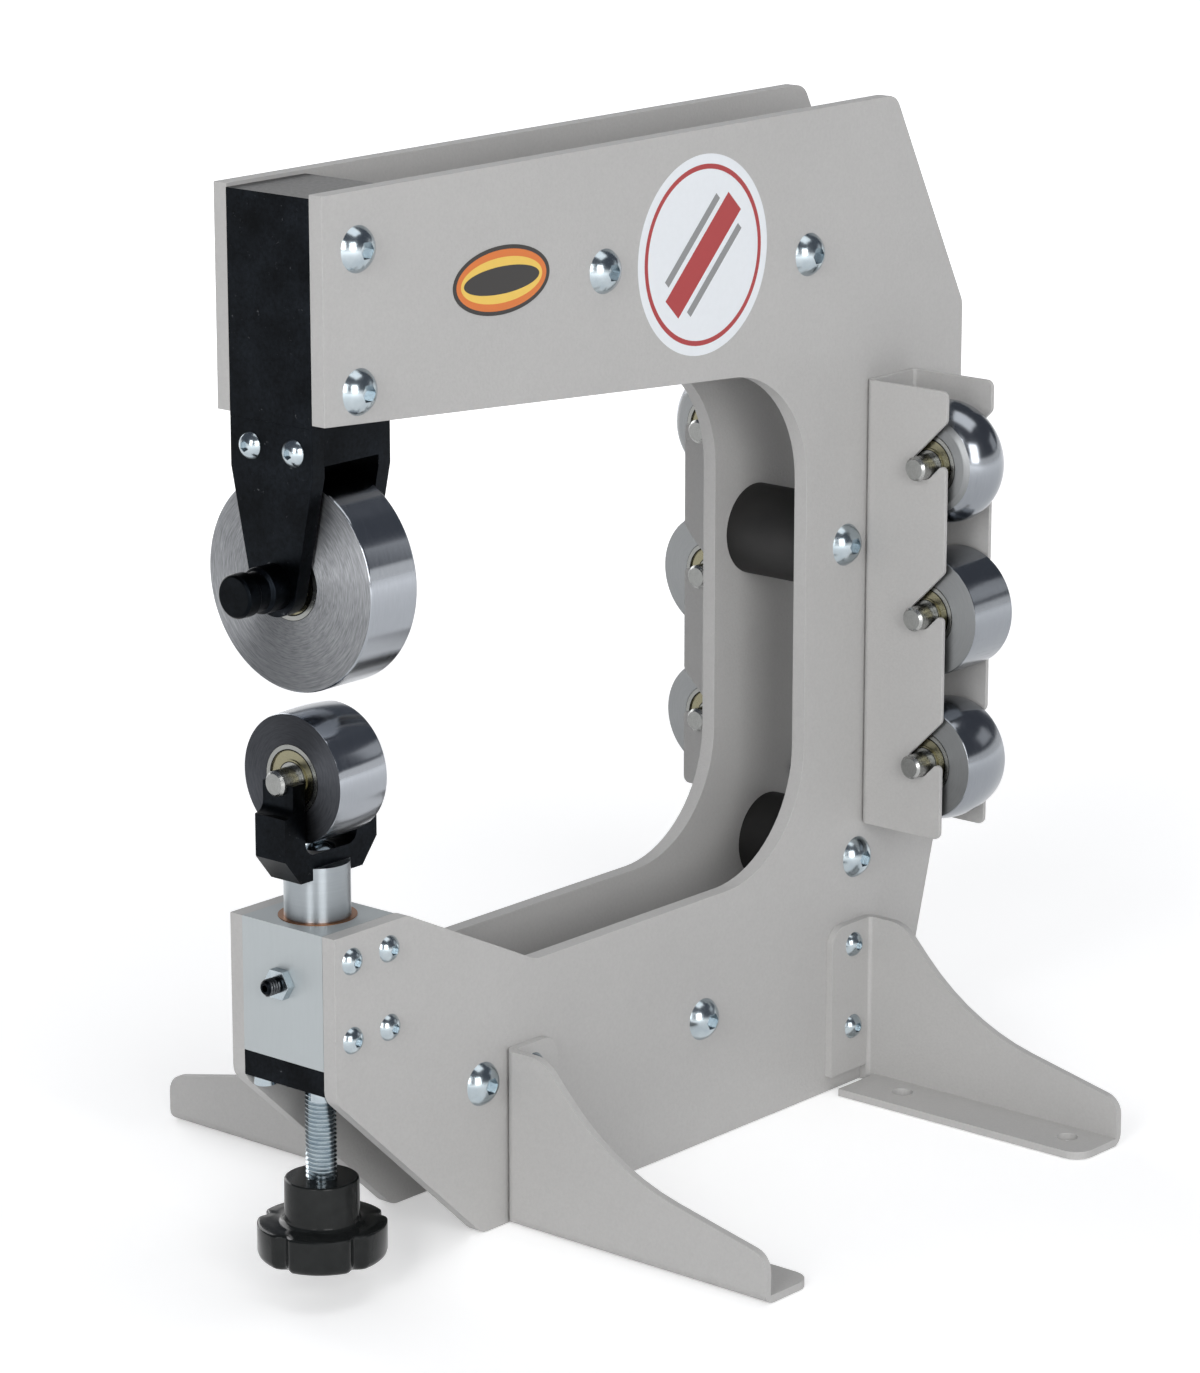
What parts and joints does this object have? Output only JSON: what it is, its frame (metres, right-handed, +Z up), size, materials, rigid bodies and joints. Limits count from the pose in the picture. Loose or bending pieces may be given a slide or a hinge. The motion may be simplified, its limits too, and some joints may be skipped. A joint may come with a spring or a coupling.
{
  "type": "english wheel",
  "caption": "Bench-top english wheel: a C frame of two plates with a plain upper wheel, a crowned anvil on a screw-lifted ram below it, and side racks of spare anvils",
  "frame": {"origin": "centre of the bench bolt holes, on the bench surface under the feet", "axes": "+Z up; -X towards the working end with the wheels; +Y to the left of someone who stands at that end and looks along the arm, so -Y is the right side"},
  "size_m": [0.4053, 0.3152, 0.416],
  "materials": {
    "powder_coat_grey": "fine textured powder coat",
    "black_oxide_steel": "black oxide, satin",
    "zinc_plated_screws": "bright zinc plate",
    "polished_wheel_steel": "polished rim, turned faces",
    "shielded_bearing": "ground rings and pressed shields",
    "ground_steel": "ground",
    "sintered_bronze": "machined bronze",
    "machined_aluminium": "milled, fine matt",
    "black_phenolic": "moulded gloss"
  },
  "bodies": {
    "frame": {"right_side_plate": "powder_coat_grey", "left_side_plate": "powder_coat_grey", "head_block": "black_oxide_steel", "frame_spacers": "black_oxide_steel", "right_frame_screws": "zinc_plated_screws", "left_frame_screws": "zinc_plated_screws", "front_cheek": "black_oxide_steel", "rear_cheek": "black_oxide_steel", "front_cheek_screws": "zinc_plated_screws", "rear_cheek_screws": "zinc_plated_screws", "guide_block": "machined_aluminium", "guide_bush": "sintered_bronze", "right_guide_screws": "zinc_plated_screws", "left_guide_screws": "zinc_plated_screws", "thrust_plate": "black_oxide_steel", "thrust_plate_screws": "zinc_plated_screws", "key_set_screw": "black_oxide_steel", "key_jam_nut": "zinc_plated_screws", "right_front_foot": "powder_coat_grey", "left_front_foot": "powder_coat_grey", "right_rear_foot": "powder_coat_grey", "left_rear_foot": "powder_coat_grey", "right_foot_screws": "zinc_plated_screws", "left_foot_screws": "zinc_plated_screws", "right_anvil_rack": "powder_coat_grey", "left_anvil_rack": "powder_coat_grey", "right_rack_screws": "zinc_plated_screws", "left_rack_screws": "zinc_plated_screws"},
    "upper_axle": {"upper_axle": "black_oxide_steel"},
    "upper_wheel": {"upper_wheel": "polished_wheel_steel", "upper_wheel_bearings": "shielded_bearing"},
    "ram": {"ram_post": "ground_steel", "ram_fork": "black_oxide_steel", "fork_screw": "zinc_plated_screws", "anvil_pin": "ground_steel"},
    "ram_anvil": {"anvil_wheel": "polished_wheel_steel", "anvil_bearings": "shielded_bearing"},
    "adjuster": {"adjuster_screw": "zinc_plated_screws", "adjuster_knob": "black_phenolic"},
    "right_top_spare": {"right_top_spare_pin": "ground_steel"},
    "right_top_spare_roller": {"right_top_spare_wheel": "polished_wheel_steel", "right_top_spare_bearings": "shielded_bearing"},
    "right_middle_spare": {"right_middle_spare_pin": "ground_steel"},
    "right_middle_spare_roller": {"right_middle_spare_wheel": "polished_wheel_steel", "right_middle_spare_bearings": "shielded_bearing"},
    "right_bottom_spare": {"right_bottom_spare_pin": "ground_steel"},
    "right_bottom_spare_roller": {"right_bottom_spare_wheel": "polished_wheel_steel", "right_bottom_spare_bearings": "shielded_bearing"},
    "left_top_spare": {"left_top_spare_pin": "ground_steel"},
    "left_top_spare_roller": {"left_top_spare_wheel": "polished_wheel_steel", "left_top_spare_bearings": "shielded_bearing"},
    "left_middle_spare": {"left_middle_spare_pin": "ground_steel"},
    "left_middle_spare_roller": {"left_middle_spare_wheel": "polished_wheel_steel", "left_middle_spare_bearings": "shielded_bearing"},
    "left_bottom_spare": {"left_bottom_spare_pin": "ground_steel"},
    "left_bottom_spare_roller": {"left_bottom_spare_wheel": "polished_wheel_steel", "left_bottom_spare_bearings": "shielded_bearing"}
  },
  "joints": [
    {"name": "upper_wheel_spin", "type": "hinge", "parent": "frame", "child": "upper_wheel", "pos_m": [-0.18986, 0, 0.2691], "axis": [1, 0, 0], "continuous": true},
    {"name": "upper_axle_pull", "type": "slide", "parent": "frame", "child": "upper_axle", "axis": [-1, 0, 0], "range_m": [0, 0.044]},
    {"name": "ram_lift", "type": "slide", "parent": "frame", "child": "ram", "axis": [0, 0, 1], "range_m": [-0.0145, 0.0075]},
    {"name": "ram_anvil_spin", "type": "hinge", "parent": "ram", "child": "ram_anvil", "pos_m": [-0.18986, 0, 0.19442], "axis": [1, 0, 0], "continuous": true},
    {"name": "adjuster_turn", "type": "hinge", "parent": "ram", "child": "adjuster", "pos_m": [-0.18986, 0, 0.05], "axis": [0, 0, 1], "range_deg": [-2990, 1550]},
    {"name": "right_top_spare_lift_out", "type": "slide", "parent": "frame", "child": "right_top_spare", "axis": [0, -0.7071, 0.7071], "range_m": [0, 0.018]},
    {"name": "right_top_spare_spin", "type": "hinge", "parent": "right_top_spare", "child": "right_top_spare_roller", "pos_m": [0.1246, -0.05699, 0.26923], "axis": [1, 0, 0], "continuous": true},
    {"name": "right_middle_spare_lift_out", "type": "slide", "parent": "frame", "child": "right_middle_spare", "axis": [0, -0.7071, 0.7071], "range_m": [0, 0.018]},
    {"name": "right_middle_spare_spin", "type": "hinge", "parent": "right_middle_spare", "child": "right_middle_spare_roller", "pos_m": [0.1246, -0.05699, 0.20653], "axis": [1, 0, 0], "continuous": true},
    {"name": "right_bottom_spare_lift_out", "type": "slide", "parent": "frame", "child": "right_bottom_spare", "axis": [0, -0.7071, 0.7071], "range_m": [0, 0.018]},
    {"name": "right_bottom_spare_spin", "type": "hinge", "parent": "right_bottom_spare", "child": "right_bottom_spare_roller", "pos_m": [0.1246, -0.05699, 0.14383], "axis": [1, 0, 0], "continuous": true},
    {"name": "left_top_spare_lift_out", "type": "slide", "parent": "frame", "child": "left_top_spare", "axis": [0, 0.7071, 0.7071], "range_m": [0, 0.018]},
    {"name": "left_top_spare_spin", "type": "hinge", "parent": "left_top_spare", "child": "left_top_spare_roller", "pos_m": [0.1246, 0.05699, 0.26923], "axis": [1, 0, 0], "continuous": true},
    {"name": "left_middle_spare_lift_out", "type": "slide", "parent": "frame", "child": "left_middle_spare", "axis": [0, 0.7071, 0.7071], "range_m": [0, 0.018]},
    {"name": "left_middle_spare_spin", "type": "hinge", "parent": "left_middle_spare", "child": "left_middle_spare_roller", "pos_m": [0.1246, 0.05699, 0.20653], "axis": [1, 0, 0], "continuous": true},
    {"name": "left_bottom_spare_lift_out", "type": "slide", "parent": "frame", "child": "left_bottom_spare", "axis": [0, 0.7071, 0.7071], "range_m": [0, 0.018]},
    {"name": "left_bottom_spare_spin", "type": "hinge", "parent": "left_bottom_spare", "child": "left_bottom_spare_roller", "pos_m": [0.1246, 0.05699, 0.14383], "axis": [1, 0, 0], "continuous": true}
  ],
  "couplings": [
    {"joint": "adjuster_turn", "follows": "ram_lift", "rad_per_m": 3590.4}
  ]
}
